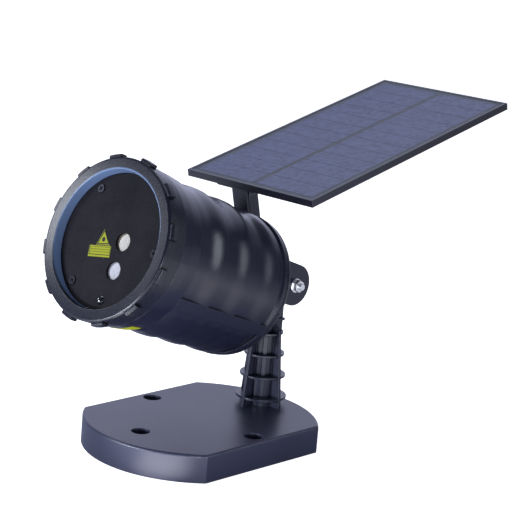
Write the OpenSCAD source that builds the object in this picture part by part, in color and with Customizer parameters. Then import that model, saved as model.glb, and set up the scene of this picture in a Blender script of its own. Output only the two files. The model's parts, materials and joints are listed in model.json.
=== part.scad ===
// Light projector on a screw-down base, with a tilting head and a tilting solar panel.
// The origin is the centre of the base's underside, +Z is up and the projector points to -Y.
// Lengths are in millimetres and angles in degrees.

/* [Base] */
// Width of the base across its straight sides
base_w = 112; // [104:1:124]
// Length of each straight side
base_side = 100; // [94:1:112]
// How far the curved front stands beyond the straight sides
front_bulge = 27.5; // [22:0.5:32]
// How far the curved rear stands beyond the straight sides
rear_bulge = 25.8; // [22:0.1:32]
// Height of the base
base_h = 17.7; // [16:0.1:20]
// Distance of each side screw hole from the centre
side_hole_x = 46; // [40:0.5:46]
// Distance of the front screw hole from the centre
front_hole_y = 53; // [48:0.5:60]

/* [Post] */
// Distance of the post's axis behind the centre
post_y = 54.4; // [52:0.1:56]
// Height of the tilt axis above the ground
pivot_z = 102.4; // [100:0.1:110]
// Reach of the post's fins at the base
fin_foot_r = 17.6; // [16:0.1:18]
// Reach of the post's fins at the neck
fin_top_r = 12.6; // [12:0.1:13.5]
// Number of rings round the post
ring_count = 4; // [3:1:4]

/* [Head] */
// Upward tilt of the projector
head_tilt = 20.4; // [15:0.1:24]
// Distance of the tilt axis behind the front face
pivot_back = 152.3; // [151:0.1:156]
// Height of the tilt axis above the projector's axis
pivot_up = 12.3; // [11:0.1:13]
// Radius of the front ring
bezel_r = 50; // [49.8:0.1:51]
// Radius of the front opening
mouth_r = 42.3; // [42.1:0.1:43]
// Depth of the face plate behind the front face
face_depth = 6.1; // [5.6:0.1:6.4]
// Number of grip pads round the front ring
pad_count = 12; // [8:1:16]
// Radius of the shell at its first crease
crest_front_r = 47.9; // [47.6:0.1:48.4]
// Depth of the ribs on the upper shell
rib_depth = 1.1; // [0.5:0.1:1.4]
// Depth of the ribs on the belly
belly_depth = 2.9; // [2:0.1:3]

/* [Solar panel] */
// Width of the panel
panel_w = 109; // [100:1:120]
// Length of the panel
panel_l = 200; // [180:1:210]
// Thickness of the panel
panel_t = 4.6; // [4.4:0.1:5.5]
// Slope of the panel, rear end up
panel_tilt = 14.8; // [14:0.1:16]
// Distance from the tilt axis to the panel's underside
arm_reach = 64.7; // [64:0.1:72]
// Number of solar cells in each of the two columns
cell_rows = 12; // [8:1:14]

/* [Hidden] */

$fn = 96;
eps = 0.01;          // overlap that makes two solids join
gap = 0.1;           // slack between pieces that are pushed together
run = 0.05;          // radial clearance of a shaft in its hole
shell_colour = "#23242e";
metal_colour = "#c9cacc";

// Base
base_wall = 2.4;
base_edge = 1.5;
front_r = (pow(base_w / 2, 2) + pow(front_bulge, 2)) / (2 * front_bulge);
rear_r = (pow(base_w / 2, 2) + pow(rear_bulge, 2)) / (2 * rear_bulge);
front_cy = front_r - front_bulge - base_side / 2;
rear_cy = rear_bulge + base_side / 2 - rear_r;
base_rib_t = 1.6;
base_rib_z = 4;
base_rib_x = [-26, 26];
base_rib_y = [-30, 26];
boss_r = 8;
screw_head_r = 6;
screw_head_depth = 8;
screw_hole_r = 2.6;
socket_r = 15;
socket_z = 7;
spigot_w = 13;
spigot_h = 5;
post_bolt_r = 2.5;
post_bolt_len = 23;

// Post
ring_z0 = 23.5;
ring_pitch = 14.43;
ring_t = 1.3;
ring_foot_r = 16.7;
ring_step_r = 1.75;
fin_t = 1.9;
fin_root_t = 3.2;
core_r = 9.4;
core_step = 1.2;
diagonal_t = 2.6;
neck_z = 66.8;
collar_z = 74.5;
collar_h = 1.6;
neck_half_x = 6.5;
neck_half_y = 8.2;
tongue_r = 11.5;

// Tilt pivot, measured along X from the centre line
bolt_r = 2;
ear_in = 16.8;
ear_out = 22;
ear_r = 13.4;
hub_in = 6.7;
hub_out = 16.6;
washer_t = 0.8;
washer_r = 4.6;
nut_af = 7;
nut_h = 3.2;
bolt_tip_x = 28.4;
spacer_r = 8.5;

// Head, measured as depth behind the front face
seam = 15.2;
crease_0 = 31.4;
crease_pitch = 25.2;
crease_count = 4;
rib_riser = 1.1;
rib_steps = 12;
rise_from = 0.34;
rise_to = 0.9;
shell_taper = 1.06;
shell_end = 114.6;
bore_r = 41.6;
cover_end = 121.5;
cover_inner = 117.5;
spigot_front = 111;
rail_from = -34;
rail_sweep = 10;
rail_lift = 0.06;
belly_from = -146.3;
belly_sweep = 112.6;
belly_lift = 0.08;
pad_sweep = 10;
pad_offset = 12;
pad_r = bezel_r + 2.2;
band_end = 6.6;
plate_t = 3.2;
plate_back = face_depth + plate_t;
face_screw_r = 36.2;
face_screw_angles = [0, 128.5, 233.7];
face_bolt_r = 1.3;
face_head_r = 2.6;
sensor_x = 6.4;
sensor_y = -35;
sensor_r = 2.6;
dome_r = 3.4;
label_t = 0.2;
label_bar = [17.8, 6.9];
label_bar_at = [-7.2, -7.8];
label_bar_turn = 9;
label_triangle = [[-8.6, 5.5], [-12, -5.8], [0, -3.3]];
window_x = 8.8;
upper_y = 1.3;
lower_y = -16.4;
window_hole_r = 5.6;
window_r = 6.6;
window_t = 1.2;
window_depth = face_depth + 1.5;
barrel_r = 6;
barrel_len = 28;
sink_from = 16;
sink_to = 36;
cell_r = 9.2;
cell_x = 10.5;
cell_y = 14.6;
cell_from = 46.4;
cell_to = 105;
tray_from = 43;
tray_to = 107;
deck_half_w = 40;
deck_y = 1.4;
deck_t = 3.1;
driver_y = -8;
driver_t = 1.5;
cover_screw_r = 35.6;
cover_screw_angles = [45, 135, 225, 315];
cover_bolt_r = 1.5;
cover_head_r = 2.8;
cover_boss_r = 3.6;
button_y = -26;
button_r = 7;
button_travel = 1.5;
button_end = 124.2;
stem_end = 113.3;
switch_w = 9;
switch_back = 104;
switch_post_x = 10.6;
switch_post_r = 1.8;
grommet_x = -11.5;
grommet_y = 27.5;
lead_r = 1.9;
tail_from = 104;
tail_to = 127;
seal_wire = 0.6;
front_seal_s = 12.3;
rear_seal_s = 112.9;

// Solar panel and arm, measured from the tilt axis in the panel's own slope
arm_left = -21;
arm_right = -8.8;
arm_half_d = 5.35;
arm_x = (arm_left + arm_right) / 2;
arm_wide_z = 23.5;
hub_top = 6;
cover_t = 1.75;
cover_gap = 0.5;
channel_w = 9;
channel_y = 2.4;
lead_x = -13.6;
lead_z = 16;
lead_bend = 5;
lead_slot_r = lead_r + 0.3;
flange_t = 2.3;
flange_z = arm_reach - flange_t;
flare_r = 7;
flare_w = 3;
flange_half_w = 16;
flange_front = -8.4;
flange_d = 23;
arm_bolt_r = 1.5;
arm_bolt_x = 13;
arm_bolt_y = [-2.5, 11.4];
panel_front = -11.2;
tray_floor = 2.5;
tray_rim = 2;
board_t = 1;
cell_t = 0.3;
cell_margin = 5.5;
cell_gap = 0.5;
spine_gap = 1.8;

function crease(i) = crease_0 + i * crease_pitch;
function crest_r(s) = crest_front_r - (s - crease_0) * tan(shell_taper);
function ring_z(i) = ring_z0 + i * ring_pitch;

// Point of a rib that is drop below the crest line, u of the way to the next crease
function rib_point(i, u, drop, start) =
    let (s0 = crease(i) + start, s = s0 + (crease(i + 1) - s0) * u)
    [crest_r(s) - drop, -s];

// How much of the rib's depth is left at u: all of it in the trough, none on the crest
function trough(u) =
    let (t = max(0, min(1, (u - rise_from) / (rise_to - rise_from))))
    1 - t * t * (3 - 2 * t);

// Outline of the upper shell: at each crease a step down to a trough, then a rise to a flat crest
function rib_outline() = concat([[crest_r(crease_0), -crease_0]], [
    for (i = [0:crease_count - 1], k = [0:rib_steps])
        let (u = k / rib_steps, p = rib_point(i, u, rib_depth * trough(u), rib_riser))
        if (-p[1] < shell_end - 0.5) p
]);

// Section that is cut out of the belly between two creases
function belly_section(i) = concat(
    [[60, -crease(i) - 0.3]],
    [for (k = [0:rib_steps])
        let (left = pow(1 - k / rib_steps, 2))
        rib_point(i, k / rib_steps, belly_depth * left - belly_lift * (1 - left), rib_riser + 0.3)],
    [[60, -crease(i + 1)]]
);

module pivot_frame() {
    translate([0, post_y, pivot_z]) children();
}

// Inside this frame the projector's axis is Z, its front face is at z = 0 and Y is up
module head_frame() {
    pivot_frame() rotate([90 - head_tilt, 0, 0]) translate([0, -pivot_up, pivot_back]) children();
}

// Inside this frame the tilt axis is X and the panel's underside is at z = arm_reach
module arm_frame() {
    pivot_frame() rotate([panel_tilt, 0, 0]) children();
}

// Cylinder on the head's axis between two depths
module at_depths(from, to, r) {
    translate([0, 0, -to]) cylinder(h = to - from, r = r);
}

module along_x(x0, x1, r) {
    translate([x0, 0, 0]) rotate([0, 90, 0]) cylinder(h = x1 - x0, r = r);
}

// Half section of a disc or bar with a rounded top edge
module round_top_profile(half_w, h, edge) {
    square([half_w, h - edge]);
    square([half_w - edge, h]);
    translate([half_w - edge, h - edge]) circle(r = edge);
}

// Block with straight sides and curved ends, each wall moved in by inset
module base_block(inset, h, edge) {
    intersection() {
        union() {
            intersection() {
                translate([0, front_cy, 0]) rotate_extrude() round_top_profile(front_r - inset, h, edge);
                translate([-base_w, -base_w, 0]) cube([2 * base_w, base_w, h]);
            }
            intersection() {
                translate([0, rear_cy, 0]) rotate_extrude() round_top_profile(rear_r - inset, h, edge);
                translate([-base_w, 0, 0]) cube([2 * base_w, base_w, h]);
            }
        }
        translate([0, base_w, 0]) rotate([90, 0, 0]) linear_extrude(2 * base_w) {
            round_top_profile(base_w / 2 - inset, h, edge);
            mirror([1, 0]) round_top_profile(base_w / 2 - inset, h, edge);
        }
    }
}

module at_base_holes() {
    for (p = [[-side_hole_x, 0], [side_hole_x, 0], [0, -front_hole_y]])
        translate([p[0], p[1], 0]) children();
}

module base_ribs() {
    rib_h = base_h - base_wall - base_rib_z + eps;
    rib_from = -base_side / 2 - 12;
    rib_to = base_side / 2 + 10;
    for (y = base_rib_y) translate([-base_w / 2 + 1, y - base_rib_t / 2, base_rib_z])
        cube([base_w - 2, base_rib_t, rib_h]);
    for (x = base_rib_x) translate([x - base_rib_t / 2, rib_from, base_rib_z])
        cube([base_rib_t, rib_to - rib_from, rib_h]);
}

module base_shell() {
    color(shell_colour) difference() {
        union() {
            difference() {
                base_block(0, base_h, base_edge);
                translate([0, 0, -eps]) base_block(base_wall, base_h - base_wall + eps, 0.6);
            }
            base_ribs();
            at_base_holes() cylinder(h = base_h - base_wall + eps, r = boss_r);
            translate([0, post_y, socket_z])
                cylinder(h = base_h - base_wall - socket_z + eps, r = socket_r);
        }
        at_base_holes() {
            translate([0, 0, -1]) cylinder(h = base_h + 2, r = screw_hole_r);
            translate([0, 0, base_h - screw_head_depth])
                cylinder(h = screw_head_depth + 1, r = screw_head_r);
        }
        translate([0, post_y, base_h - spigot_h]) post_socket();
        translate([0, post_y, 0]) cylinder(h = base_h, r = post_bolt_r + 2 * gap);
    }
}

module post_socket() {
    w = spigot_w + 2 * gap;
    translate([-w / 2, -w / 2, 0]) cube([w, w, spigot_h + 1]);
}

// Vertical fin whose outer edge leans in towards the top
module fin() {
    outline = [
        [0, base_h], [fin_foot_r, base_h], [fin_top_r, neck_z + 2],
        [neck_half_y, neck_z + 7], [0, neck_z + 7]
    ];
    rotate([90, 0, 0]) translate([0, 0, -fin_t / 2]) linear_extrude(fin_t) polygon(outline);
    translate([0, -fin_root_t / 2, base_h]) cube([core_r, fin_root_t, neck_z - base_h]);
}

module diagonal_rib() {
    translate([0, -diagonal_t / 2, base_h]) cube([core_r + 0.3, diagonal_t, neck_z - base_h]);
}

module post_neck() {
    w = 2 * neck_half_x;
    d = 2 * neck_half_y;
    translate([-neck_half_x, -neck_half_y, neck_z]) cube([w, d, pivot_z - neck_z]);
    translate([-neck_half_x - 1, -neck_half_y - 1, collar_z]) cube([w + 2, d + 2, collar_h]);
    translate([0, 0, pivot_z]) along_x(-neck_half_x, neck_half_x, tongue_r);
}

module stake_post() {
    color(shell_colour) translate([0, post_y, 0]) difference() {
        union() {
            translate([-spigot_w / 2, -spigot_w / 2, base_h - spigot_h + gap])
                cube([spigot_w, spigot_w, spigot_h]);
            translate([0, 0, base_h]) cylinder(h = ring_z(1) - base_h, r = core_r);
            translate([0, 0, base_h]) cylinder(h = neck_z - base_h, r = core_r - core_step);
            for (a = [0:90:270]) {
                rotate([0, 0, a]) fin();
                rotate([0, 0, a + 45]) diagonal_rib();
            }
            for (i = [0:ring_count - 1]) translate([0, 0, ring_z(i) - ring_t / 2])
                cylinder(h = ring_t, r = ring_foot_r - i * ring_step_r);
            post_neck();
        }
        translate([0, 0, pivot_z]) along_x(-10, 10, bolt_r + run);
        translate([0, 0, base_h - spigot_h - 1]) cylinder(h = post_bolt_len - 1, r = post_bolt_r + run);
    }
}

// Machine screw pointing up along Z with its head below z = 0
module screw_up(r, length, head_r, head_h) {
    difference() {
        union() {
            cylinder(h = length, r = r);
            translate([0, 0, -head_h]) cylinder(h = head_h, r = head_r);
        }
        for (a = [0, 90])
            rotate([0, 0, a]) translate([-head_r * 0.6, -head_r * 0.12, -head_h - eps])
                cube([head_r * 1.2, head_r * 0.24, head_h * 0.6]);
    }
}

module post_bolt() {
    color(metal_colour) translate([0, post_y, socket_z]) screw_up(post_bolt_r, post_bolt_len, 4.6, 2.8);
}

module pivot_bolt() {
    head_x = -ear_out - gap - washer_t;
    color(metal_colour) pivot_frame() translate([head_x, 0, 0]) rotate([0, 90, 0])
        screw_up(bolt_r, bolt_tip_x - head_x, 3.9, 2.8);
}

module pivot_nut() {
    x0 = ear_out + gap + washer_t;
    color(metal_colour) pivot_frame() difference() {
        translate([x0, 0, 0]) rotate([0, 90, 0])
            cylinder(h = nut_h, r = nut_af / 2 / cos(30), $fn = 6);
        along_x(x0 - 1, x0 + nut_h + 1, bolt_r + run);
    }
}

module pivot_washers() {
    color(metal_colour) pivot_frame()
        for (x0 = [-ear_out - gap - washer_t, ear_out + gap]) difference() {
            along_x(x0, x0 + washer_t, washer_r);
            along_x(x0 - 1, x0 + washer_t + 1, bolt_r + run);
        }
}

module pivot_spacer() {
    color(shell_colour) pivot_frame() difference() {
        along_x(hub_in - gap, hub_out, spacer_r);
        along_x(hub_in - 1, hub_out + 1, bolt_r + run);
    }
}

// Boss on the bore's wall with a web that joins it to the wall
module wall_boss(angle, r_at, from, to, r) {
    rotate([0, 0, angle]) {
        translate([r_at, 0, 0]) at_depths(from, to, r);
        translate([r_at, -1.5, -to]) cube([bore_r - r_at + 1, 3, to - from]);
    }
}

module ring_section(from, to, r0, r1) {
    difference() {
        at_depths(from, to, r1);
        at_depths(from - 1, to + 1, r0);
    }
}

module o_ring(depth, r, wire) {
    translate([0, 0, -depth]) rotate_extrude() translate([r, 0]) circle(r = wire, $fn = 24);
}

module housing_outer() {
    skirt = [[0, -seam], [bezel_r - 0.7, -seam], [crest_front_r + 0.9, -23]];
    tail = [[crest_r(shell_end), -shell_end], [0, -shell_end]];
    difference() {
        rotate_extrude() polygon(concat(skirt, rib_outline(), tail));
        rotate([0, 0, belly_from]) for (i = [0:crease_count - 1])
            rotate_extrude(angle = belly_sweep) intersection() {
                polygon(belly_section(i));
                translate([0, -shell_end + 1.4]) square([60, shell_end]);
            }
    }
    for (a = [rail_from, 180 - rail_from - rail_sweep])
        rotate([0, 0, a]) rotate_extrude(angle = rail_sweep) polygon(rail_section());
}

// Section of the flat rail along each side, a hair proud of the crests and buried at its front end
function rail_section() =
    let (front = crease_0 - 2, back = shell_end - 0.4)
    [
        [bore_r + 1, -front], [crest_front_r - 1, -front], [crest_front_r + rail_lift, -crease_0 - 0.2],
        [crest_r(shell_end) + rail_lift, -back], [bore_r + 1, -back]
    ];

// Guides on the bore's wall, above and below each edge of the battery tray
module tray_guides() {
    guide_h = 2.4;
    for (side = [0, 1]) mirror([side, 0, 0])
        for (y = [deck_y - guide_h - 2 * gap, deck_y + deck_t + 2 * gap])
            translate([deck_half_w - 1.8, y, -tray_to - 1]) cube([4, guide_h, tray_to - tray_from + 2]);
}

module housing_shell() {
    color(shell_colour) head_frame() difference() {
        union() {
            difference() {
                housing_outer();
                at_depths(seam - 1, shell_end + 1, bore_r);
            }
            ring_section(plate_back + 0.1, seam + 3, 39.4, 45);
            intersection() {
                union() {
                    for (a = face_screw_angles) wall_boss(a, face_screw_r, plate_back + 0.1, 34, 3.4);
                    for (a = cover_screw_angles) wall_boss(a, cover_screw_r, 92, 110.5, cover_boss_r);
                    tray_guides();
                }
                at_depths(plate_back + 0.1, shell_end, bore_r + 0.5);
            }
        }
        for (a = face_screw_angles) rotate([0, 0, a]) translate([face_screw_r, 0, 0])
            at_depths(plate_back, 24, face_bolt_r + run);
        for (a = cover_screw_angles) rotate([0, 0, a]) translate([cover_screw_r, 0, 0])
            at_depths(98, spigot_front, cover_bolt_r + run);
        ring_section(front_seal_s - seal_wire - gap, front_seal_s + seal_wire + gap, 43.9, 46);
    }
}

// Ring with a rounded front edge, a band that carries the grip pads and a skirt a little smaller than it
module front_bezel() {
    skirt_r = bezel_r - 0.5;
    section = [
        [mouth_r, -0.5], [mouth_r + 0.4, 0], [bezel_r - 1.1, 0], [bezel_r - 0.3, -0.35], [bezel_r, -1.1],
        [bezel_r, -band_end + 0.4], [skirt_r, -band_end], [skirt_r - 0.1, -seam + 0.3],
        [45.3, -seam + 0.3], [45.3, -plate_back - 0.1], [bore_r + 0.2, -plate_back - 0.1],
        [bore_r + 0.2, -face_depth]
    ];
    pad = [
        [bezel_r - 1, -0.7], [pad_r - 1, -0.7], [pad_r - 0.25, -1.1], [pad_r, -1.8],
        [pad_r, -band_end + 1], [pad_r - 0.4, -band_end + 0.4], [bezel_r - 1, -band_end + 0.4]
    ];
    color("#33363f") head_frame() {
        rotate_extrude() polygon(section);
        for (i = [0:pad_count - 1])
            rotate([0, 0, pad_offset + i * 360 / pad_count]) rotate_extrude(angle = pad_sweep) polygon(pad);
    }
}

module bezel_seal() {
    color("#101010") head_frame() o_ring(front_seal_s, 44.6, seal_wire);
}

module face_plate() {
    color("#16161a") head_frame() difference() {
        at_depths(face_depth, plate_back, bore_r - 0.1);
        for (a = face_screw_angles) rotate([0, 0, a]) translate([face_screw_r, 0, 0]) {
            at_depths(face_depth - 1, plate_back + 1, face_bolt_r + run);
            at_depths(face_depth - 1, face_depth + 1, face_head_r + 3 * gap);
        }
        for (y = [upper_y, lower_y]) translate([window_x, y, 0]) {
            at_depths(face_depth - 1, plate_back + 1, window_hole_r);
            at_depths(window_depth, plate_back + 1, window_r + run);
        }
        translate([sensor_x, sensor_y, 0]) at_depths(face_depth - 1, plate_back + 1, sensor_r + run);
    }
}

// Small screws driven in from the front of the head, heads at the given depth
module head_screws(angles, r_at, head_depth, length, r, head_r, head_h) {
    for (a = angles) rotate([0, 0, a]) translate([r_at, 0, -head_depth]) rotate([180, 0, 0])
        screw_up(r, length, head_r, head_h);
}

module face_screws() {
    color("#8d8f94") head_frame()
        head_screws(face_screw_angles, face_screw_r, face_depth + 1, 16, face_bolt_r, face_head_r, 1.6);
}

module window_glass(y) {
    head_frame() translate([window_x, y, 0]) at_depths(window_depth, window_depth + window_t, window_r);
}

module upper_window() {
    color("#b3a79c") window_glass(upper_y);
}

module lower_window() {
    color("#a3aab4") window_glass(lower_y);
}

module light_sensor() {
    color("#0c0c0e") head_frame() translate([sensor_x, sensor_y, 0]) {
        intersection() {
            translate([0, 0, -face_depth - 1.5]) sphere(r = dome_r);
            at_depths(0, face_depth, dome_r + 1);
        }
        at_depths(face_depth, plate_back + 3, sensor_r);
    }
}

// Blank sticker: a triangle standing on a bar
module label_outline() {
    translate(label_bar_at) rotate([0, 0, label_bar_turn]) square(label_bar, center = true);
    polygon(label_triangle);
}

module face_label() {
    color("#d2d61e") head_frame() translate([0, 0, -face_depth]) linear_extrude(label_t) label_outline();
}

module belly_label() {
    color("#d2d61e") head_frame() rotate([0, 0, -86]) rotate_extrude(angle = 22)
        polygon([[crest_front_r + 0.9, -23.2], [crest_front_r + 0.9 + label_t, -23.2],
                 [crest_front_r + 0.1 + label_t, -30.9], [crest_front_r + 0.1, -30.9]]);
}

// Laser diode barrel with a lens collar at its front end
module laser_barrel(y) {
    back = window_depth + window_t + 1.4;
    head_frame() translate([window_x, y, 0]) difference() {
        union() {
            at_depths(back, back + barrel_len, barrel_r);
            at_depths(back + barrel_len, back + barrel_len + 4, 3);
        }
        at_depths(back - 1, back + 3, 3);
    }
}

module green_laser_module() {
    color("#b08d3c") laser_barrel(upper_y);
}

module red_laser_module() {
    color("#b08d3c") laser_barrel(lower_y);
}

module star_gratings() {
    from = window_depth + window_t + 0.2;
    color("#7f8fa6") head_frame() for (y = [upper_y, lower_y]) translate([window_x, y, 0])
        at_depths(from, from + 1, window_r - 0.4);
}

module heat_sink() {
    color("#a9abb0") head_frame() difference() {
        translate([window_x - 12, lower_y - 10, -sink_to])
            cube([24, upper_y - lower_y + 20, sink_to - sink_from]);
        for (y = [upper_y, lower_y]) translate([window_x, y, 0])
            at_depths(sink_from - 1, sink_to + 1, barrel_r + run);
        for (i = [0:3]) translate([window_x + 8, lower_y - 8 + i * 10, -sink_to + 2]) cube([5, 4, 20]);
    }
}

module at_cells() {
    for (x = [-cell_x, cell_x]) translate([x, cell_y, 0]) children();
}

// Deck that slides between the guides, with a cradle for the cells above and feet for the board below
module battery_tray() {
    tray_len = tray_to - tray_from;
    foot = 4;
    color("#2c2c30") head_frame() difference() {
        union() {
            translate([-deck_half_w, deck_y, -tray_to]) cube([2 * deck_half_w, deck_t, tray_len]);
            translate([-22, deck_y + deck_t - 0.5, -tray_to]) cube([44, 12, tray_len]);
            for (x = [-24, 20]) for (z = [-100, -52])
                translate([x, driver_y + driver_t + gap, z]) cube([foot, deck_y - driver_y, foot]);
        }
        at_cells() at_depths(tray_from + 1, tray_to - 1.5, cell_r + gap);
    }
}

module battery_cells() {
    color("#3f6f8f") head_frame() at_cells() {
        at_depths(cell_from, cell_to, cell_r);
        at_depths(cell_from - 1.4, cell_from, 3);
    }
}

module driver_board() {
    chip_h = 4;
    color("#1f5a35") head_frame() {
        translate([-27, driver_y, -103]) cube([54, driver_t, 58]);
        translate([-10, driver_y - chip_h, -80]) cube([14, chip_h, 14]);
        for (x = [10, 18]) translate([x, driver_y - chip_h, -60]) rotate([-90, 0, 0])
            cylinder(h = chip_h, r = 3);
    }
}

module ear(side) {
    mirror([side, 0, 0]) {
        translate([ear_in, pivot_up, -pivot_back]) along_x(0, ear_out - ear_in, ear_r);
        translate([ear_in, pivot_up - ear_r, -pivot_back])
            cube([ear_out - ear_in, 2 * ear_r, pivot_back - cover_inner - 1]);
    }
}

module rear_cover() {
    rim = [
        [0, -cover_inner], [39, -cover_inner], [39, -spigot_front], [bore_r - 0.2, -spigot_front],
        [bore_r - 0.2, -shell_end - 0.2], [46.2, -shell_end - 0.2], [46, -117.5], [45.5, -117.7],
        [45.5, -118.2], [45.9, -118.4], [45.5, -120.2], [45, -120.9], [44.2, -cover_end], [0, -cover_end]
    ];
    color(shell_colour) head_frame() difference() {
        union() {
            rotate_extrude() polygon(rim);
            for (side = [0, 1]) ear(side);
            for (a = cover_screw_angles) rotate([0, 0, a]) translate([cover_screw_r, 0, 0])
                at_depths(spigot_front - 0.3, cover_inner + 1, cover_boss_r);
            translate([0, button_y, 0]) {
                at_depths(cover_end - 1, cover_end + 1.2, button_r + 2);
                for (x = [-switch_post_x, switch_post_x]) translate([x, 0, 0])
                    at_depths(switch_back, cover_inner + 1, switch_post_r);
            }
        }
        translate([0, pivot_up, -pivot_back]) along_x(-30, 30, bolt_r + run);
        for (a = cover_screw_angles) rotate([0, 0, a]) translate([cover_screw_r, 0, 0]) {
            at_depths(spigot_front - 1, cover_end + 1, cover_bolt_r + run);
            at_depths(cover_end - 1.6, cover_end + 1, cover_head_r + 3 * gap);
        }
        translate([0, button_y, 0]) at_depths(cover_inner - 1, cover_end + 2, button_r + gap);
        translate([grommet_x, grommet_y, 0]) at_depths(cover_inner - 1, cover_end + 1, 4);
        ring_section(rear_seal_s - seal_wire - gap, rear_seal_s + seal_wire + gap, 40.4, 43);
    }
}

module rear_seal() {
    color("#101010") head_frame() o_ring(rear_seal_s, 41, seal_wire - 0.05);
}

module rear_screws() {
    color("#8d8f94") head_frame() for (a = cover_screw_angles)
        rotate([0, 0, a]) translate([cover_screw_r, 0, -cover_end + 1.6])
            screw_up(cover_bolt_r, 20, cover_head_r, 1.5);
}

module power_button() {
    color("#3a3b42") head_frame() translate([0, button_y, 0]) {
        at_depths(cover_inner - 1.7, button_end, button_r);
        at_depths(cover_inner - 1.7, cover_inner - 0.2, button_r + 1.4);
        at_depths(stem_end, cover_inner, 2);
    }
}

module power_switch() {
    front = -switch_back + 2 * gap;
    face = -stem_end + button_travel + gap;
    color("#18181a") head_frame() translate([-switch_w / 2, button_y - switch_w / 2, face])
        cube([switch_w, switch_w, front - face]);
}

module switch_board() {
    color("#1f5a35") head_frame() translate([-12.5, button_y - 6, -switch_back + 3 * gap])
        cube([25, 12, 1.5]);
}

module lead_grommet() {
    color("#101010") head_frame() translate([grommet_x, grommet_y, 0]) difference() {
        union() {
            at_depths(cover_inner - 1.5, cover_inner - eps, 5);
            at_depths(cover_inner - 1.5, cover_end + 4, 3.9);
            at_depths(cover_end + eps, cover_end + 1.5, 5);
        }
        at_depths(cover_inner - 3, cover_end + 6, lead_r + run);
    }
}

module lead_tail() {
    color("#101010") head_frame() translate([grommet_x, grommet_y, 0])
        at_depths(tail_from, tail_to, lead_r);
}

// Arm that carries the panel: a hub on the tilt bolt, a box section with a cable channel, a flange
module panel_arm() {
    body_front = -arm_half_d + cover_t + cover_gap;
    neck_h = arm_wide_z - hub_top + 1;
    color(shell_colour) arm_frame() difference() {
        union() {
            along_x(-hub_out, -hub_in, ear_r);
            translate([-hub_out, -arm_half_d, hub_top]) cube([hub_out - hub_in, 2 * arm_half_d, neck_h]);
            translate([arm_left, body_front, arm_wide_z])
                cube([arm_right - arm_left, arm_half_d - body_front, flange_z - arm_wide_z + eps]);
            translate([arm_x - flange_half_w, flange_front, flange_z])
                cube([2 * flange_half_w, flange_d, flange_t]);
            for (side = [0, 1]) translate([arm_x, 0, 0]) mirror([side, 0, 0]) arm_flare();
        }
        along_x(-hub_out - 1, 0, bolt_r + run);
        lead_channel(lead_x, 2 * lead_slot_r, lead_z - lead_slot_r, arm_wide_z + 1);
        lead_channel(arm_x, channel_w, arm_wide_z, flange_z);
        translate([lead_x, 0, flange_z - 5]) cylinder(h = 10, r = lead_slot_r);
        at_arm_screws() translate([0, 0, flange_z - 1]) cylinder(h = 5, r = arm_bolt_r + run);
        translate([arm_left - 1, -arm_half_d - 1, arm_wide_z])
            cube([arm_right - arm_left + 2, cover_t + cover_gap + 1, flange_z - arm_wide_z]);
    }
}

// Channel for the lead, open to the front of the arm
module lead_channel(x, w, from, to) {
    translate([x - w / 2, -arm_half_d - 1, from]) cube([w, arm_half_d + channel_y + 1, to - from]);
}

// Fillet that widens the arm under its flange
module arm_flare() {
    w = (arm_right - arm_left) / 2;
    translate([w - eps, arm_half_d, flange_z - flare_r]) rotate([90, 0, 0])
        linear_extrude(arm_half_d * 2 - cover_t - cover_gap) difference() {
            square([flare_w, flare_r + eps]);
            translate([flare_r, 0]) circle(r = flare_r);
        }
}

module at_arm_screws() {
    for (x = [-arm_bolt_x, arm_bolt_x]) for (y = arm_bolt_y) translate([arm_x + x, y, 0]) children();
}

// Strip over the cable channel, with a clip rib inside each wall of the channel
module arm_cover() {
    cover_h = flange_z - arm_wide_z;
    clip_t = 1;
    color(shell_colour) arm_frame() {
        translate([arm_left, -arm_half_d, arm_wide_z]) cube([arm_right - arm_left, cover_t, cover_h - gap]);
        for (x = [-channel_w / 2 + gap, channel_w / 2 - clip_t - gap])
            translate([arm_x + x, -arm_half_d + cover_t - eps, arm_wide_z + 2])
                cube([clip_t, 2.4, cover_h - 6]);
    }
}

module arm_screws() {
    color("#8d8f94") arm_frame() at_arm_screws() translate([0, 0, flange_z])
        screw_up(arm_bolt_r, flange_t + tray_floor - 2 * gap, 2.7, 1.4);
}

// Lead inside the arm: it comes in from the front above the hub, bends up and ends in the tray
module panel_lead() {
    bend_z = lead_z + lead_bend;
    color("#101010") arm_frame() translate([lead_x, 0, 0]) {
        translate([0, 0, bend_z]) cylinder(h = arm_reach + 1 - bend_z, r = lead_r);
        translate([0, -lead_bend, bend_z]) rotate([0, 90, 0])
            rotate_extrude(angle = 90) translate([lead_bend, 0]) circle(r = lead_r);
        translate([0, -lead_bend, lead_z]) rotate([90, 0, 0]) cylinder(h = 1.5, r = lead_r);
    }
}

module panel_frame() {
    arm_frame() translate([0, panel_front, arm_reach]) children();
}

module panel_slab(inset, z0, h) {
    translate([-panel_w / 2 + inset, inset, z0]) cube([panel_w - 2 * inset, panel_l - 2 * inset, h]);
}

module panel_tray() {
    color("#24262e") difference() {
        panel_frame() difference() {
            panel_slab(0, 0, panel_t);
            panel_slab(tray_rim, tray_floor, panel_t);
        }
        arm_frame() {
            at_arm_screws() translate([0, 0, arm_reach - 1]) cylinder(h = 5, r = arm_bolt_r + run);
            translate([lead_x, 0, arm_reach - 1]) cylinder(h = 5, r = lead_slot_r);
        }
    }
}

module cell_board() {
    color("#6c7078") panel_frame() panel_slab(tray_rim + gap, tray_floor + eps, board_t);
}

module solar_cells() {
    col_w = (panel_w - 2 * cell_margin - spine_gap) / 2;
    pitch = (panel_l - 2 * cell_margin + cell_gap) / cell_rows;
    color("#4f5572") panel_frame() for (side = [0, 1]) mirror([side, 0, 0])
        for (i = [0:cell_rows - 1])
            translate([spine_gap / 2, cell_margin + i * pitch, tray_floor + board_t + 2 * eps])
                cube([col_w, pitch - cell_gap, cell_t]);
}

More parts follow.
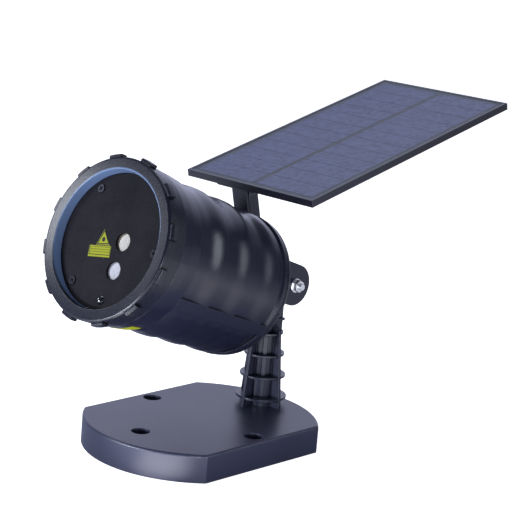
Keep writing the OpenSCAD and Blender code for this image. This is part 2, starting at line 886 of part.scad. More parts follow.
module panel_sheet() {
    z0 = tray_floor + board_t + cell_t + 0.05;
    color("#9fb0c8", 0.4) panel_frame() panel_slab(tray_rim + gap, z0, panel_t - z0 - 0.15);
}

base_shell();
stake_post();
post_bolt();
pivot_bolt();
pivot_nut();
pivot_washers();
pivot_spacer();
housing_shell();
front_bezel();
bezel_seal();
face_plate();
face_screws();
upper_window();
lower_window();
light_sensor();
face_label();
belly_label();
green_laser_module();
red_laser_module();
star_gratings();
heat_sink();
battery_tray();
battery_cells();
driver_board();
rear_cover();
rear_seal();
rear_screws();
power_button();
power_switch();
switch_board();
lead_grommet();
lead_tail();
panel_arm();
arm_cover();
arm_screws();
panel_lead();
panel_tray();
cell_board();
solar_cells();
panel_sheet();
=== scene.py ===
"""Looks of the light projector: materials, the slack loop of its lead, floor, lights and camera.

Lengths are metres in the frame's own axes: +Z up, the projector points to -Y.
"""
import json
import math

import bpy
from mathutils import Matrix, Quaternion, Vector

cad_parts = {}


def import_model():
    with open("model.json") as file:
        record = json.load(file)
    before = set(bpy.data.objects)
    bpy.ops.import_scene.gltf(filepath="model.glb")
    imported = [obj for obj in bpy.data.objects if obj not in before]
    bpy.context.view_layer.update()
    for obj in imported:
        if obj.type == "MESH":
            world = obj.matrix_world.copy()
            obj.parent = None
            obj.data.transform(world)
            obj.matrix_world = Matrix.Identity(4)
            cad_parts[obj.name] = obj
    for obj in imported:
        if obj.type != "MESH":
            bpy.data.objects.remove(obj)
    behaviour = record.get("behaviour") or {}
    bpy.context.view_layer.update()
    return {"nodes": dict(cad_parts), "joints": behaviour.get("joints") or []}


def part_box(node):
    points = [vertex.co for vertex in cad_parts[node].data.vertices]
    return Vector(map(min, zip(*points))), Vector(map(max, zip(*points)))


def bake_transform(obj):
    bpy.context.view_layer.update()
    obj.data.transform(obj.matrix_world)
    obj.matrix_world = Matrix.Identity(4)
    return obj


MM = 0.001
ACROSS = Vector((1, 0, 0))

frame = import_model()


# ---------------------------------------------------------------- places taken from the frame
def middle(node):
    """Centre of a node's box."""
    low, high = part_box(node)
    return (low + high) / 2


def joint(name):
    return next(j for j in frame["joints"] if j["name"] == name)


def corners(node):
    return [vertex.co for vertex in frame["nodes"][node].data.vertices]


HEAD_FORWARD = Vector(joint("button_press")["axis"])
HEAD_UP = ACROSS.cross(-HEAD_FORWARD)
BEZEL_CENTRE = middle("front_bezel")

SHEET_CORNERS = corners("panel_sheet")
SHEET_WIDTH = 2 * max(c.x for c in SHEET_CORNERS)
SHEET_RUN = max(SHEET_CORNERS, key=lambda c: c.y) - min(SHEET_CORNERS, key=lambda c: c.z)
SHEET_RUN = Vector((0, SHEET_RUN.y, SHEET_RUN.z))
PANEL_REAR = SHEET_RUN.normalized()
PANEL_UP = ACROSS.cross(PANEL_REAR)
PANEL_MIDDLE = middle("panel_sheet")


# ---------------------------------------------------------------- shader helpers
EDGE_SAMPLES = 6
GROOVE_SAMPLES = 8
EDGE_LEAN = (0.995, 0.86)
NOISE_SPAN = (0.3, 0.7)


def linear(colour):
    """Linear colour from three display values, each 0 to 255."""
    def channel(value):
        value /= 255
        return value / 12.92 if value <= 0.04045 else ((value + 0.055) / 1.055) ** 2.4
    return tuple(channel(value) for value in colour) + (1,)


def shifted(colour, times=1, plus=0):
    """A darker or paler version of a display colour."""
    return tuple(min(255, value * times + plus) for value in colour)


class Shader:
    """A node material with a Principled surface and short calls for the nodes used here.

    In every call a value is a number, a vector or another node's output.
    """

    def __init__(self, name):
        self.material = bpy.data.materials.new(name)
        self.material.use_nodes = True
        self.nodes = self.material.node_tree.nodes
        self.links = self.material.node_tree.links
        self.nodes.clear()
        self.output = self.nodes.new("ShaderNodeOutputMaterial")
        self.surface = self.nodes.new("ShaderNodeBsdfPrincipled")
        self.links.new(self.surface.outputs[0], self.output.inputs["Surface"])
        self.place = self.nodes.new("ShaderNodeTexCoord").outputs["Object"]

    @classmethod
    def reopen(cls, material):
        """The same calls for a material made earlier."""
        s = cls.__new__(cls)
        s.material = material
        s.nodes = material.node_tree.nodes
        s.links = material.node_tree.links
        s.surface = next(n for n in s.nodes if n.type == "BSDF_PRINCIPLED")
        s.place = next(n for n in s.nodes if n.type == "TEX_COORD").outputs["Object"]
        return s

    def put(self, socket, value):
        if isinstance(value, bpy.types.NodeSocket):
            self.links.new(value, socket)
        else:
            socket.default_value = value

    def set(self, **values):
        """Sets inputs of the surface; an underscore in a name stands for a space."""
        for name, value in values.items():
            self.put(self.surface.inputs[name.replace("_", " ")], value)

    def source(self, name):
        """What is linked to an input of the surface now."""
        return self.surface.inputs[name].links[0].from_socket

    # patterns
    def noise(self, size, detail=3, rough=0.55, stretch=(1, 1, 1)):
        """Noise whose features are about size metres across."""
        mapping = self.nodes.new("ShaderNodeMapping")
        mapping.inputs["Scale"].default_value = stretch
        self.links.new(self.place, mapping.inputs["Vector"])
        node = self.nodes.new("ShaderNodeTexNoise")
        node.inputs["Scale"].default_value = 1 / size
        node.inputs["Detail"].default_value = detail
        node.inputs["Roughness"].default_value = rough
        self.links.new(mapping.outputs[0], node.inputs["Vector"])
        return node.outputs["Fac"]

    def cells(self, size, feature="F1"):
        """Distance within cells about size metres across."""
        node = self.nodes.new("ShaderNodeTexVoronoi")
        node.feature = feature
        node.inputs["Scale"].default_value = 1 / size
        self.links.new(self.place, node.inputs["Vector"])
        return node.outputs["Distance"]

    # vectors and numbers
    def vector(self, operation, first, second, output="Value"):
        node = self.nodes.new("ShaderNodeVectorMath")
        node.operation = operation
        self.put(node.inputs[0], first)
        self.put(node.inputs[1], second)
        return node.outputs[output]

    def dot(self, first, second):
        return self.vector("DOT_PRODUCT", first, second)

    def length(self, vector):
        return self.vector("LENGTH", vector, (0, 0, 0))

    def offset(self, point):
        """From point to the shaded place."""
        return self.vector("SUBTRACT", self.place, point, "Vector")

    def off_axis(self, offset, axis):
        """Distance of an offset's end from the line that runs along axis."""
        return self.length(self.vector("CROSS_PRODUCT", offset, axis, "Vector"))

    def math(self, operation, first, second=0.0):
        node = self.nodes.new("ShaderNodeMath")
        node.operation = operation
        self.put(node.inputs[0], first)
        self.put(node.inputs[1], second)
        return node.outputs[0]

    def plus(self, first, second):
        return self.math("ADD", first, second)

    def minus(self, first, second):
        return self.math("SUBTRACT", first, second)

    def times(self, first, second):
        return self.math("MULTIPLY", first, second)

    def least(self, first, *others):
        for other in others:
            first = self.math("MINIMUM", first, other)
        return first

    def spread(self, value, low, high, to_low=0.0, to_high=1.0):
        """Maps low..high of value to to_low..to_high, held at the ends."""
        node = self.nodes.new("ShaderNodeMapRange")
        node.clamp = True
        for index, item in enumerate((value, low, high, to_low, to_high)):
            self.put(node.inputs[index], item)
        return node.outputs[0]

    def swing(self, noise, low=0.0, high=1.0):
        """Maps the values that a noise mostly has to low..high."""
        return self.spread(noise, *NOISE_SPAN, low, high)

    def either(self, mask, at_0, at_1):
        return self.spread(mask, 0, 1, at_0, at_1)

    def mix(self, amount, first, second):
        """Second over first by amount; a colour is an output, three display values or four linear ones."""
        node = self.nodes.new("ShaderNodeMix")
        node.data_type = "RGBA"
        self.put(node.inputs["Factor"], amount)
        for index, colour in ((6, first), (7, second)):
            if isinstance(colour, tuple) and len(colour) == 3:
                colour = linear(colour)
            self.put(node.inputs[index], colour)
        return node.outputs[2]

    # shape
    def soft_edges(self, radius):
        """Surface normal with edges rounded off to radius."""
        node = self.nodes.new("ShaderNodeBevel")
        node.samples = EDGE_SAMPLES
        node.inputs["Radius"].default_value = radius
        return node.outputs[0]

    def edge_mask(self, normal):
        """1 on edges and 0 on open faces, from how far a rounded normal leans from the true one."""
        geometry = self.nodes.new("ShaderNodeNewGeometry")
        return self.spread(self.dot(normal, geometry.outputs["Normal"]), *EDGE_LEAN)

    def openness(self, distance):
        """1 on open faces, lower in grooves and corners narrower than distance."""
        node = self.nodes.new("ShaderNodeAmbientOcclusion")
        node.samples = GROOVE_SAMPLES
        node.only_local = True
        node.inputs["Distance"].default_value = distance
        return node.outputs["AO"]

    def bump(self, height, depth, normal=None):
        """Normal with the pattern height pressed depth metres into it."""
        node = self.nodes.new("ShaderNodeBump")
        node.inputs["Strength"].default_value = 1
        node.inputs["Distance"].default_value = depth
        self.links.new(height, node.inputs["Height"])
        if normal is not None:
            self.links.new(normal, node.inputs["Normal"])
        return node.outputs[0]


# ---------------------------------------------------------------- moulded plastics
GROOVE = 2.2 * MM
GROOVE_SHADE = 0.45
DUST = (120, 120, 128)
DUST_SHOWN = 0.06
# edges are painted paler: partly wear, partly a painted edge highlight
EDGE_WEAR_AND_HIGHLIGHT = (112, 114, 132)
EDGE_WEAR_AND_HIGHLIGHT_SHOWN = 0.16
WEAR_POLISH = 0.08
BORE_REACH = 42.6 * MM
BORE_FADE = 0.25 * MM
# the blue reflection painted into the bore's colour
BORE_PAINTED_REFLECTION = (84, 102, 134)
TRAY_RIM = (80, 83, 97)
TRAY_DEPTH = 3.2 * MM
TRAY_SKIN = 0.1 * MM
TRAY_FADE = 0.25 * MM


def moulded_plastic(name, colour, lighter, roughness, grain=0.55 * MM, depth=0.012 * MM,
                    edge=0.5 * MM):
    """Satin injection-moulded plastic: spark-eroded grain, faint flow marks, polished worn edges with a
    painted highlight, painted shade in grooves and corners.
    """
    s = Shader(name)
    rounded = s.soft_edges(edge)
    edge_wear_and_highlight = s.edge_mask(rounded)
    groove_shade_mask = s.spread(s.openness(GROOVE), 0.45, 0.95)
    flow = s.noise(60 * MM, stretch=(1, 1, 0.6))
    fine = s.noise(grain, detail=2, rough=0.7)
    dust = s.spread(s.noise(2.2 * MM, detail=5, rough=0.75), 0.58, 0.82)
    tone = s.mix(s.swing(flow), colour, lighter)
    tone = s.mix(s.times(dust, DUST_SHOWN), tone, DUST)
    # edges painted paler: partly wear, partly a painted highlight
    tone = s.mix(s.times(edge_wear_and_highlight, EDGE_WEAR_AND_HIGHLIGHT_SHOWN), tone, EDGE_WEAR_AND_HIGHLIGHT)
    # painted shade: grooves and corners are darkened here, and their reflection is weakened below
    tone = s.mix(groove_shade_mask, shifted(colour, GROOVE_SHADE), tone)
    rough = s.plus(s.swing(fine, roughness - 0.04, roughness + 0.04), s.swing(flow, -0.015, 0.02))
    rough = s.minus(rough, s.times(edge_wear_and_highlight, WEAR_POLISH))
    s.set(Base_Color=tone, Roughness=rough, IOR=1.5, Specular_IOR_Level=s.times(groove_shade_mask, 0.5),
          Normal=s.bump(fine, depth, rounded))
    return s.material


def bezel_plastic():
    """Satin ring whose polished bore has a blue reflection painted into its colour."""
    material = moulded_plastic("bezel_plastic", (16, 17, 30), (20, 21, 35), 0.27, grain=0.45 * MM,
                               edge=0.4 * MM)
    s = Shader.reopen(material)
    reach = s.off_axis(s.offset(BEZEL_CENTRE), HEAD_FORWARD)
    bore = s.spread(reach, BORE_REACH + BORE_FADE, BORE_REACH)
    # painted reflection: the bore's colour is lightened to a blue sheen
    s.set(Base_Color=s.mix(bore, s.source("Base Color"), BORE_PAINTED_REFLECTION),
          Roughness=s.either(bore, s.source("Roughness"), 0.24), IOR=1.4)
    return material


def tray_plastic():
    """Dark frame of the panel; the inside of its rim is painted the grey of the laminate."""
    material = moulded_plastic("tray_frame", (22, 23, 36), (27, 28, 42), 0.45, edge=0.3 * MM)
    s = Shader.reopen(material)
    tray_low, tray_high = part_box("panel_tray")
    half_width = (tray_high.x - tray_low.x) / 2
    rim = half_width - SHEET_WIDTH / 2
    half_length = SHEET_RUN.length / 2 + rim
    aside = s.offset(PANEL_MIDDLE)

    def within(direction, half):
        distance = s.math("ABSOLUTE", s.dot(aside, direction))
        return s.spread(distance, half - TRAY_SKIN, half - TRAY_SKIN - TRAY_FADE)

    above_floor = s.spread(s.dot(aside, PANEL_UP), -TRAY_DEPTH - TRAY_SKIN, -TRAY_DEPTH)
    inside = s.times(s.times(within(ACROSS, half_width), within(PANEL_REAR, half_length)), above_floor)
    s.set(Base_Color=s.mix(inside, s.source("Base Color"), TRAY_RIM),
          Specular_IOR_Level=s.either(inside, s.source("Specular IOR Level"), 0.5))
    return material


# ---------------------------------------------------------------- face plate, windows and metals
def face_texture():
    """Black plate with a coarse leathery stipple and a few pale brown specks in it."""
    s = Shader("face_texture")
    stipple = s.cells(0.85 * MM, "SMOOTH_F1")
    fine = s.noise(0.5 * MM, detail=4, rough=0.7)
    patch = s.noise(14 * MM)
    specks = s.times(s.spread(fine, 0.56, 0.74), s.spread(stipple, 0.35, 0.65))
    tone = s.mix(s.spread(patch, 0.35, 0.65), (10, 10, 17), (17, 16, 24))
    tone = s.mix(s.times(specks, 0.6), tone, (104, 86, 84))
    height = s.plus(s.times(stipple, 1.2), fine)
    s.set(Base_Color=tone, Roughness=s.swing(fine, 0.55, 0.75), IOR=1.22,
          Normal=s.bump(height, 0.11 * MM, s.soft_edges(0.3 * MM)))
    return s.material


def frosted_lens(name, colour, edge_colour, node):
    """Coated glass: a pale disc with a darker rim and a faint painted glow, sized and placed by a node's
    box.
    """
    s = Shader(name)
    low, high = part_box(node)
    half = (high.x - low.x) / 2
    rim = s.spread(s.vector("DISTANCE", s.place, middle(node)), half * 0.62, half * 0.86)
    film = s.noise(3 * MM)
    tone = s.mix(s.spread(film, 0.35, 0.65), colour, shifted(colour, plus=14))
    tone = s.mix(s.times(rim, 0.55), tone, edge_colour)
    # painted light: the glass faintly emits its own colour
    s.set(Base_Color=tone, Roughness=s.swing(film, 0.22, 0.32), IOR=1.5, Coat_Weight=0.2,
          Coat_Roughness=0.12, Emission_Color=tone, Emission_Strength=0.12,
          Normal=s.bump(s.noise(0.4 * MM), 0.004 * MM))
    return s.material


def glossy_dome():
    """Near-black clear dome with faint smears."""
    s = Shader("sensor_dome")
    smear = s.noise(1.2 * MM)
    tone = s.mix(s.spread(smear, 0.4, 0.7), (9, 9, 12), (20, 18, 24))
    s.set(Base_Color=tone, Roughness=s.swing(smear, 0.07, 0.14), IOR=1.5, Coat_Weight=0.6,
          Coat_Roughness=0.05, Normal=s.bump(smear, 0.002 * MM))
    return s.material


def metal(name, colour, roughness, brushed=(1, 1, 1), stained=0.35):
    """Plated metal with fine machining marks and darker stains."""
    s = Shader(name)
    marks = s.noise(0.25 * MM, detail=2, stretch=brushed)
    stain = s.spread(s.noise(1.6 * MM, detail=4), 0.4, 0.7)
    tone = s.mix(s.times(stain, stained), colour, shifted(colour, 0.5))
    s.set(Base_Color=tone, Metallic=1.0, Roughness=s.swing(marks, roughness - 0.07, roughness + 0.09),
          Normal=s.bump(marks, 0.006 * MM, s.soft_edges(0.18 * MM)))
    return s.material


# ---------------------------------------------------------------- stickers
# The face sticker is drawn in mm from the bezel's centre, across and up the face.
TRIANGLE = ((-8.6, 5.5), (-12, -5.8), (0, -3.3))
TRIANGLE_LINE = (0.5, 1.1)
DOT_RADIUS = 1.4
BAR_MIDDLE = Vector((-7.2, -7.8))
BAR_SIZE = (17.8, 6.9)
BAR_TURN = math.radians(9)
BAR_LINE = (0.4, 0.75)
LINE_BLUR = 0.12
ROW_MARGIN = 1.1
ROW_PITCH = 1.496
ROW_INK = 0.55
FACE_REACH = 35 * MM


def on_face(point):
    """The direction in space of a direction drawn on the face."""
    return point.x * ACROSS + point.y * HEAD_UP


def label_print(s):
    """1 where the face sticker carries its plain border, centre dot and rows; no letters are drawn."""
    aside = s.offset(BEZEL_CENTRE)

    def along(way, start):
        """Distance in mm that the shaded place lies beyond start, measured along way."""
        distance = s.math("DIVIDE", s.dot(aside, on_face(way)), MM)
        return s.minus(distance, way.dot(start))

    def depth_inside(first, second, opposite):
        """Distance from the line through first and second, positive on the side of opposite."""
        edge = second - first
        inward = Vector((-edge.y, edge.x)).normalized()
        if inward.dot(opposite - first) < 0:
            inward = -inward
        return along(inward, first)

    def line(depth, near, far):
        return s.times(s.spread(depth, near - LINE_BLUR, near), s.spread(depth, far + LINE_BLUR, far))

    a, b, c = (Vector(corner) for corner in TRIANGLE)
    in_triangle = s.least(depth_inside(a, b, c), depth_inside(b, c, a), depth_inside(c, a, b))
    centre = BEZEL_CENTRE + on_face((a + b + c) / 3) * MM
    dot = s.spread(s.off_axis(s.offset(centre), HEAD_FORWARD),
                   (DOT_RADIUS + 0.1) * MM, (DOT_RADIUS - 0.1) * MM)
    dot = s.times(dot, s.spread(in_triangle, 0, 0.2))
    triangle = s.math("MAXIMUM", line(in_triangle, *TRIANGLE_LINE), dot)

    long_way = Vector((math.cos(BAR_TURN), math.sin(BAR_TURN)))
    tall_way = Vector((-long_way.y, long_way.x))
    tall = along(tall_way, BAR_MIDDLE)
    in_bar = s.least(s.minus(BAR_SIZE[0] / 2, s.math("ABSOLUTE", along(long_way, BAR_MIDDLE))),
                     s.minus(BAR_SIZE[1] / 2, s.math("ABSOLUTE", tall)))
    wave = s.math("SINE", s.times(tall, math.tau / ROW_PITCH))
    rows = s.times(s.spread(wave, 0.3, 0.7), s.spread(in_bar, ROW_MARGIN, ROW_MARGIN + 0.2))
    bar = s.math("MAXIMUM", line(in_bar, *BAR_LINE), s.times(rows, ROW_INK))

    ink = s.either(s.spread(in_bar, 0, 0.15), triangle, bar)
    near_face = s.spread(s.off_axis(aside, HEAD_FORWARD), FACE_REACH, FACE_REACH - 1 * MM)
    return s.times(ink, near_face)


def sticker_vinyl():
    """Yellow vinyl with a faint print grain and slightly scuffed patches."""
    s = Shader("label_vinyl")
    grain = s.noise(0.3 * MM, detail=2)
    scuff = s.spread(s.noise(2.5 * MM, detail=5), 0.5, 0.75)
    tone = s.mix(s.times(scuff, 0.3), (128, 131, 4), (110, 113, 14))
    tone = s.mix(label_print(s), tone, (20, 20, 20))
    s.set(Base_Color=tone, Roughness=s.swing(grain, 0.42, 0.55), IOR=1.25,
          Normal=s.bump(grain, 0.004 * MM, s.soft_edges(0.1 * MM)))
    return s.material


# ---------------------------------------------------------------- solar panel
CELL_GRAIN = 4.5 * MM
FINGER_PITCH = 2.1 * MM
WAVE_STEPS = 20
BUSBAR_HALF = (1.9 * MM, 1.5 * MM)
RESIN_IOR = 1.45
RESIN_SHEEN = 0.17


def cell_silicon():
    """Polycrystalline silicon: violet-blue grains with fine pale finger lines across each cell."""
    s = Shader("cell_silicon")
    crystal = s.cells(CELL_GRAIN)
    flakes = s.noise(1.8 * MM, detail=4)
    wave = s.nodes.new("ShaderNodeTexWave")
    wave.bands_direction = "Y"
    wave.inputs["Scale"].default_value = math.tau / (WAVE_STEPS * FINGER_PITCH)
    s.links.new(s.place, wave.inputs["Vector"])
    finger = s.spread(wave.outputs["Fac"], 0.93, 1.0)
    between_columns = s.spread(s.math("ABSOLUTE", s.dot(s.place, ACROSS)), *BUSBAR_HALF)
    tone = s.mix(s.spread(crystal, 0.15, 0.75), (72, 78, 111), (91, 97, 134))
    tone = s.mix(s.spread(flakes, 0.4, 0.65, 0, 0.4), tone, (102, 103, 145))
    tone = s.mix(s.times(finger, 0.35), tone, (140, 144, 160))
    tone = s.mix(between_columns, tone, (64, 66, 80))
    s.set(Base_Color=tone, Roughness=0.4, IOR=1.5, Metallic=0.1)
    return s.material


def laminate():
    """Grey circuit laminate, with the weave of its glass cloth just showing."""
    s = Shader("laminate_grey")
    weave = s.cells(0.9 * MM)
    tone = s.mix(s.spread(weave, 0.1, 0.7), (74, 77, 86), (88, 91, 100))
    s.set(Base_Color=tone, Roughness=0.55, Normal=s.bump(weave, 0.01 * MM))
    return s.material


def clear_resin():
    """Clear poured resin with a gently uneven satin top.

    The camera sees through it with refraction; light passes straight, so the cells stay lit.
    """
    s = Shader("panel_resin")
    shape = s.bump(s.noise(9 * MM, detail=2), 0.03 * MM, s.soft_edges(0.2 * MM))

    def layer(kind, **values):
        """A shader node with its inputs set."""
        node = s.nodes.new(kind)
        for name, value in values.items():
            s.put(node.inputs[name], value)
        return node.outputs[0]

    def layered(amount, below, above):
        node = s.nodes.new("ShaderNodeMixShader")
        for index, value in enumerate((amount, below, above)):
            s.put(node.inputs[index], value)
        return node.outputs[0]

    straight = layer("ShaderNodeBsdfTransparent", Color=(0.93, 0.94, 0.97, 1))
    bent = layer("ShaderNodeBsdfRefraction", Color=(0.95, 0.96, 0.98, 1), IOR=RESIN_IOR, Roughness=0.0)
    gloss = layer("ShaderNodeBsdfGlossy", Color=(1, 1, 1, 1), Normal=shape,
                  Roughness=s.swing(s.noise(0.5 * MM, detail=2), 0.24, 0.34))
    fresnel = layer("ShaderNodeFresnel", IOR=RESIN_IOR, Normal=shape)
    path = s.nodes.new("ShaderNodeLightPath")
    through = layered(path.outputs["Is Camera Ray"], straight, bent)
    s.links.new(layered(s.times(fresnel, RESIN_SHEEN), through, gloss), s.output.inputs["Surface"])
    s.nodes.remove(s.surface)
    return s.material


# ---------------------------------------------------------------- rubber, boards and wrap
def soft_rubber(name, colour, roughness=0.7):
    """Matt rubber or cable sheath with fine grain and a pale bloom."""
    s = Shader(name)
    grain = s.noise(0.35 * MM, rough=0.7)
    bloom = s.spread(s.noise(5 * MM, detail=4), 0.45, 0.75)
    tone = s.mix(s.times(bloom, 0.25), colour, shifted(colour, plus=26))
    s.set(Base_Color=tone, Roughness=s.swing(grain, roughness - 0.06, roughness + 0.08), IOR=1.45,
          Normal=s.bump(grain, 0.01 * MM, s.soft_edges(0.35 * MM)))
    return s.material


def circuit_board():
    """Green solder mask over raised tracks."""
    s = Shader("circuit_green")
    tracks = s.spread(s.cells(2.6 * MM, "DISTANCE_TO_EDGE"), 0.04, 0.09)
    tone = s.mix(tracks, (52, 120, 66), (22, 74, 40))
    s.set(Base_Color=tone, Roughness=0.35, Coat_Weight=0.3, Normal=s.bump(tracks, 0.02 * MM))
    return s.material


def cell_wrap():
    """Blue shrink wrap of a battery cell, wrinkled along its length."""
    s = Shader("cell_wrap")
    shrink = s.noise(1.2 * MM, stretch=(1, 0.2, 1))
    tone = s.mix(shrink, (42, 92, 130), (66, 120, 156))
    s.set(Base_Color=tone, Roughness=0.28, Normal=s.bump(shrink, 0.02 * MM))
    return s.material


# ---------------------------------------------------------------- one material for each slot of the record
MATERIALS = {
    "base_plastic": moulded_plastic("base_plastic", (42, 44, 64), (48, 50, 70), 0.36,
                                    grain=0.7 * MM, depth=0.016 * MM),
    "post_plastic": moulded_plastic("post_plastic", (30, 31, 48), (36, 37, 54), 0.28, edge=0.35 * MM),
    "shell_plastic": moulded_plastic("shell_plastic", (20, 21, 36), (25, 26, 42), 0.22,
                                     depth=0.005 * MM, edge=0.4 * MM),
    "bezel_plastic": bezel_plastic(),
    "tray_frame": tray_plastic(),
    "tray_plastic": moulded_plastic("tray_plastic", (40, 40, 44), (48, 48, 52), 0.5, edge=0.3 * MM),
    "switch_black": moulded_plastic("switch_black", (22, 22, 24), (28, 28, 30), 0.45, edge=0.2 * MM),
    "face_texture": face_texture(),
    "warm_glass": frosted_lens("warm_glass", (92, 84, 76), (56, 48, 42), "upper_window"),
    "cool_glass": frosted_lens("cool_glass", (112, 113, 122), (66, 68, 78), "lower_window"),
    "sensor_dome": glossy_dome(),
    "label_vinyl": sticker_vinyl(),
    "plated_steel": metal("plated_steel", (244, 244, 248), 0.36, stained=0.2),
    "dark_screw": metal("dark_screw", (38, 38, 44), 0.34),
    "laser_brass": metal("laser_brass", (196, 158, 84), 0.3, brushed=(1, 12, 1)),
    "sink_aluminium": metal("sink_aluminium", (190, 192, 196), 0.35, brushed=(8, 1, 1), stained=0.15),
    "grating_film": frosted_lens("grating_film", (150, 164, 186), (96, 104, 124), "upper_window"),
    "seal_rubber": soft_rubber("seal_rubber", (20, 20, 23)),
    "button_rubber": soft_rubber("button_rubber", (38, 39, 46), 0.62),
    "lead_pvc": soft_rubber("lead_pvc", (22, 22, 26), 0.45),
    "cell_silicon": cell_silicon(),
    "laminate_grey": laminate(),
    "panel_resin": clear_resin(),
    "circuit_green": circuit_board(),
    "cell_wrap": cell_wrap(),
}


def paint_nodes():
    """Each carried-over node gets the material of its own slot in the record."""
    for obj in frame["nodes"].values():
        for index, entry in enumerate(obj.data.materials):
            obj.material_slots[index].link = "OBJECT"
            obj.material_slots[index].material = MATERIALS[entry.name.split(".")[0]]


# ---------------------------------------------------------------- slack loop of the panel's lead
LOOP_STEPS = 40
LOOP_SIDES = 20
LOOP_PULL = 13 * MM
LOOP_SAG = Vector((-7 * MM, 0, 2 * MM))
LOOP_OVERLAP = 0.8 * MM
LOOP_SLIMMER = 0.99
TUBE_SIDEWAYS = Vector((0, 0.35, 0.94))


def add_mesh(name, verts, faces):
    """A new object in the scene, with its own mesh."""
    mesh = bpy.data.meshes.new(name)
    mesh.from_pydata(verts, [], faces)
    mesh.validate()
    obj = bpy.data.objects.new(name, mesh)
    bpy.context.scene.collection.objects.link(obj)
    return obj


def tube(name, points, radius, sides):
    """Round tube along points, closed at both ends."""
    last = len(points) - 1
    verts = []
    for index, point in enumerate(points):
        ahead = points[min(index + 1, last)] - points[max(index - 1, 0)]
        side = ahead.normalized().cross(TUBE_SIDEWAYS).normalized()
        upward = side.cross(ahead).normalized()
        for step in range(sides):
            turn = math.tau * step / sides
            verts.append(point + radius * (side * math.cos(turn) + upward * math.sin(turn)))

    faces = []
    for row in range(0, last * sides, sides):
        for step in range(sides):
            following = (step + 1) % sides
            faces.append([row + step, row + following, row + sides + following, row + sides + step])
    faces.append(list(reversed(range(sides))))
    faces.append([last * sides + step for step in range(sides)])
    obj = add_mesh(name, verts, faces)
    obj.data.polygons.foreach_set("use_smooth", [len(p.vertices) == 4 for p in obj.data.polygons])
    return obj


def tube_end(node, direction):
    """Middle of the end face of a lead, the one that lies furthest along direction."""
    furthest = max(c.dot(direction) for c in corners(node))
    ring = [c for c in corners(node) if c.dot(direction) > furthest - 0.02 * MM]
    low = Vector([min(c[axis] for c in ring) for axis in range(3)])
    high = Vector([max(c[axis] for c in ring) for axis in range(3)])
    return (low + high) / 2


def lead_loop():
    """The lead sags sideways between the gland on the head and the arm of the panel."""
    tail_low, tail_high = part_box("lead_tail")
    radius = (tail_high.x - tail_low.x) / 2
    start = tube_end("lead_tail", -HEAD_FORWARD)
    end = tube_end("panel_lead", -PANEL_REAR)
    first = start + LOOP_OVERLAP * HEAD_FORWARD
    last = end + LOOP_OVERLAP * PANEL_REAR
    leaving = first - LOOP_PULL * HEAD_FORWARD
    arriving = last - LOOP_PULL * PANEL_REAR
    points = []
    for index in range(LOOP_STEPS + 1):
        t = index / LOOP_STEPS
        u = 1 - t
        curve = first * u ** 3 + 3 * leaving * t * u ** 2 + 3 * arriving * t * t * u + last * t ** 3
        points.append(curve + LOOP_SAG * math.sin(math.pi * t) ** 2)
    obj = tube("lead_loop", points, radius * LOOP_SLIMMER, LOOP_SIDES)
    obj.data.materials.append(MATERIALS["lead_pvc"])
    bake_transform(obj)


# ---------------------------------------------------------------- floor
FLOOR_HALF = 9.0
FLOOR_DROP = 0.2 * MM
SEEN_FLOOR = ((0.86, 0.86, 0.87, 1), (0.88, 0.88, 0.89, 1))
SEEN_GLOW = 0.95
BOUNCE_FLOOR = (0.38, 0.40, 0.48, 1)
RING = 1.8
RING_INSIDE = (0.12, 0.19)
RING_OUTSIDE = (0.65, 0.45)
RING_FRONT = (0.62, -0.78, 0)
BAND = 0.5
BAND_WAY = (0.87, 0.5, 0)
BAND_SIDE = (-0.5, 0.87, 0)
FAR = 0.22
FAR_WAY = (0.65, 0.75, 0)
PATCH = 6.4
PATCH_CENTRE = (0.049, -0.105, 0)
PATCH_REACH = (0.042, 0.02)


def floor_glow(s):
    """What the floor sends back onto the object: a ring round it, brightest in front, a band to its
    right, a faint far part and a small bright patch by the base's front corner.
    """
    reach = s.length(s.place)
    front = s.spread(s.math("DIVIDE", s.dot(s.place, RING_FRONT), reach), 0.1, 0.75, 0.1, 1.0)
    ring = s.times(s.times(s.spread(reach, *RING_INSIDE), s.spread(reach, *RING_OUTSIDE)), front)
    band_side = s.math("ABSOLUTE", s.dot(s.place, BAND_SIDE))
    band = s.times(s.spread(band_side, 0.10, 0.04), s.spread(s.dot(s.place, BAND_WAY), 0.2, 0.3))
    far = s.spread(s.dot(s.place, FAR_WAY), 0.15, 0.5, 0, FAR)
    patch = s.spread(s.vector("DISTANCE", s.place, PATCH_CENTRE), *PATCH_REACH, 0, PATCH)
    return s.plus(s.plus(s.times(ring, RING), s.times(band, BAND)), s.plus(far, patch))


def floor():
    """Pale sheet that the camera sees as white and the object as grey with a few brighter parts."""
    half = FLOOR_HALF
    obj = add_mesh("floor", [(-half, -half, 0), (half, -half, 0), (half, half, 0), (-half, half, 0)],
                   [(0, 1, 2, 3)])
    obj.location.z = -FLOOR_DROP
    s = Shader("studio_floor")
    seen = s.nodes.new("ShaderNodeLightPath").outputs["Is Camera Ray"]
    tone = s.mix(seen, BOUNCE_FLOOR, s.mix(s.swing(s.noise(0.4, detail=2)), *SEEN_FLOOR))
    s.set(Base_Color=tone, Roughness=0.9, Emission_Color=(1, 1, 1, 1),
          Emission_Strength=s.either(seen, floor_glow(s), SEEN_GLOW))
    obj.data.materials.append(s.material)


# ---------------------------------------------------------------- backdrop, camera and lights
BACKDROP = Vector((-0.66, 0.72, 0.22)).normalized()
BACKDROP_RAMP = ((0.62, (0.085, 0.09, 0.125, 1)), (0.97, (0.90, 0.94, 1.27, 1)))
CAMERA_PLACE = Vector((0.7629, -0.7917, 0.3768))
CAMERA_AZIMUTH = math.radians(42.25)
CAMERA_ELEVATION = math.radians(13.15)
CAMERA_ROLL = math.radians(4.75)
CAMERA_LENS = 122.5
CAMERA_SENSOR = 36
CAMERA_REACH = 50
COOL = (0.86, 0.92, 1.0)
MIDDLE = Vector((0, 0, 0.12))


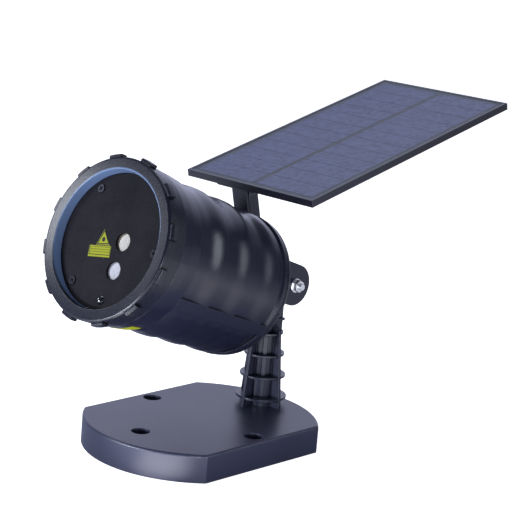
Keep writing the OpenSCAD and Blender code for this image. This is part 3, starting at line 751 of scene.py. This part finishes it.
def world():
    """Bright backdrop behind the object and a dim studio everywhere else."""
    scene_world = bpy.data.worlds.new("studio")
    bpy.context.scene.world = scene_world
    scene_world.use_nodes = True
    nodes = scene_world.node_tree.nodes
    links = scene_world.node_tree.links
    nodes.clear()
    facing = nodes.new("ShaderNodeVectorMath")
    facing.operation = "DOT_PRODUCT"
    facing.inputs[1].default_value = BACKDROP
    ramp = nodes.new("ShaderNodeValToRGB")
    for element, (position, colour) in zip(ramp.color_ramp.elements, BACKDROP_RAMP):
        element.position = position
        element.color = colour
    background = nodes.new("ShaderNodeBackground")
    links.new(nodes.new("ShaderNodeTexCoord").outputs["Generated"], facing.inputs[0])
    links.new(facing.outputs["Value"], ramp.inputs["Fac"])
    links.new(ramp.outputs["Color"], background.inputs["Color"])
    links.new(background.outputs[0], nodes.new("ShaderNodeOutputWorld").inputs["Surface"])


def camera():
    """The viewpoint: a long lens low in front and to the right, rolled a little."""
    level = math.cos(CAMERA_ELEVATION)
    back = Vector((math.sin(CAMERA_AZIMUTH) * level, -math.cos(CAMERA_AZIMUTH) * level,
                   math.sin(CAMERA_ELEVATION)))
    right = Vector((math.cos(CAMERA_AZIMUTH), math.sin(CAMERA_AZIMUTH), 0))
    up = back.cross(right)
    turned_right = right * math.cos(CAMERA_ROLL) + up * math.sin(CAMERA_ROLL)
    turned_up = up * math.cos(CAMERA_ROLL) - right * math.sin(CAMERA_ROLL)
    turned = Matrix((turned_right, turned_up, back)).transposed().to_4x4()
    data = bpy.data.cameras.new("camera")
    data.sensor_width = CAMERA_SENSOR
    data.lens = CAMERA_LENS
    data.clip_end = CAMERA_REACH
    obj = bpy.data.objects.new("camera", data)
    obj.matrix_world = Matrix.Translation(CAMERA_PLACE) @ turned
    bpy.context.scene.collection.objects.link(obj)
    bpy.context.scene.camera = obj


def area_light(name, target, direction, distance, size, power, lean=0):
    """A cool rectangle that faces target from distance metres away, turned lean degrees on its axis."""
    data = bpy.data.lights.new(name, "AREA")
    data.shape = "RECTANGLE"
    data.size, data.size_y = size
    data.energy = power
    data.color = COOL
    lamp = bpy.data.objects.new(name, data)
    away = Vector(direction).normalized()
    lamp.location = target + away * distance
    turned = away.to_track_quat("Z", "Y") @ Quaternion((0, 0, 1), math.radians(lean))
    lamp.rotation_euler = turned.to_euler()
    bpy.context.scene.collection.objects.link(lamp)


def lights():
    area_light("bezel_softbox", BEZEL_CENTRE - 0.047 * ACROSS + 0.006 * HEAD_UP,
               (-0.654, -0.686, 0.29), distance=0.21, size=(0.06, 0.06), power=0.185)
    area_light("right_strip", middle("housing_shell"),
               (0.72, 0.69, 0.24), distance=0.9, size=(0.045, 0.66), power=0.9, lean=-38)
    area_light("top_softbox", MIDDLE, (-0.2, 0.1, 1), distance=1.2, size=(0.9, 0.9), power=6)
    area_light("low_softbox", middle("stake_post"),
               (-0.25, -0.95, 0.02), distance=0.6, size=(0.22, 0.08), power=3)
    area_light("low_fill", middle("base_shell"),
               (0.85, -0.5, 0.10), distance=0.5, size=(0.4, 0.06), power=1.3)
    area_light("right_fill", MIDDLE, (0.93, -0.34, 0.25), distance=1, size=(0.6, 0.6), power=0.6)


paint_nodes()
lead_loop()
floor()
world()
camera()
lights()
bpy.context.scene.view_settings.view_transform = "Standard"
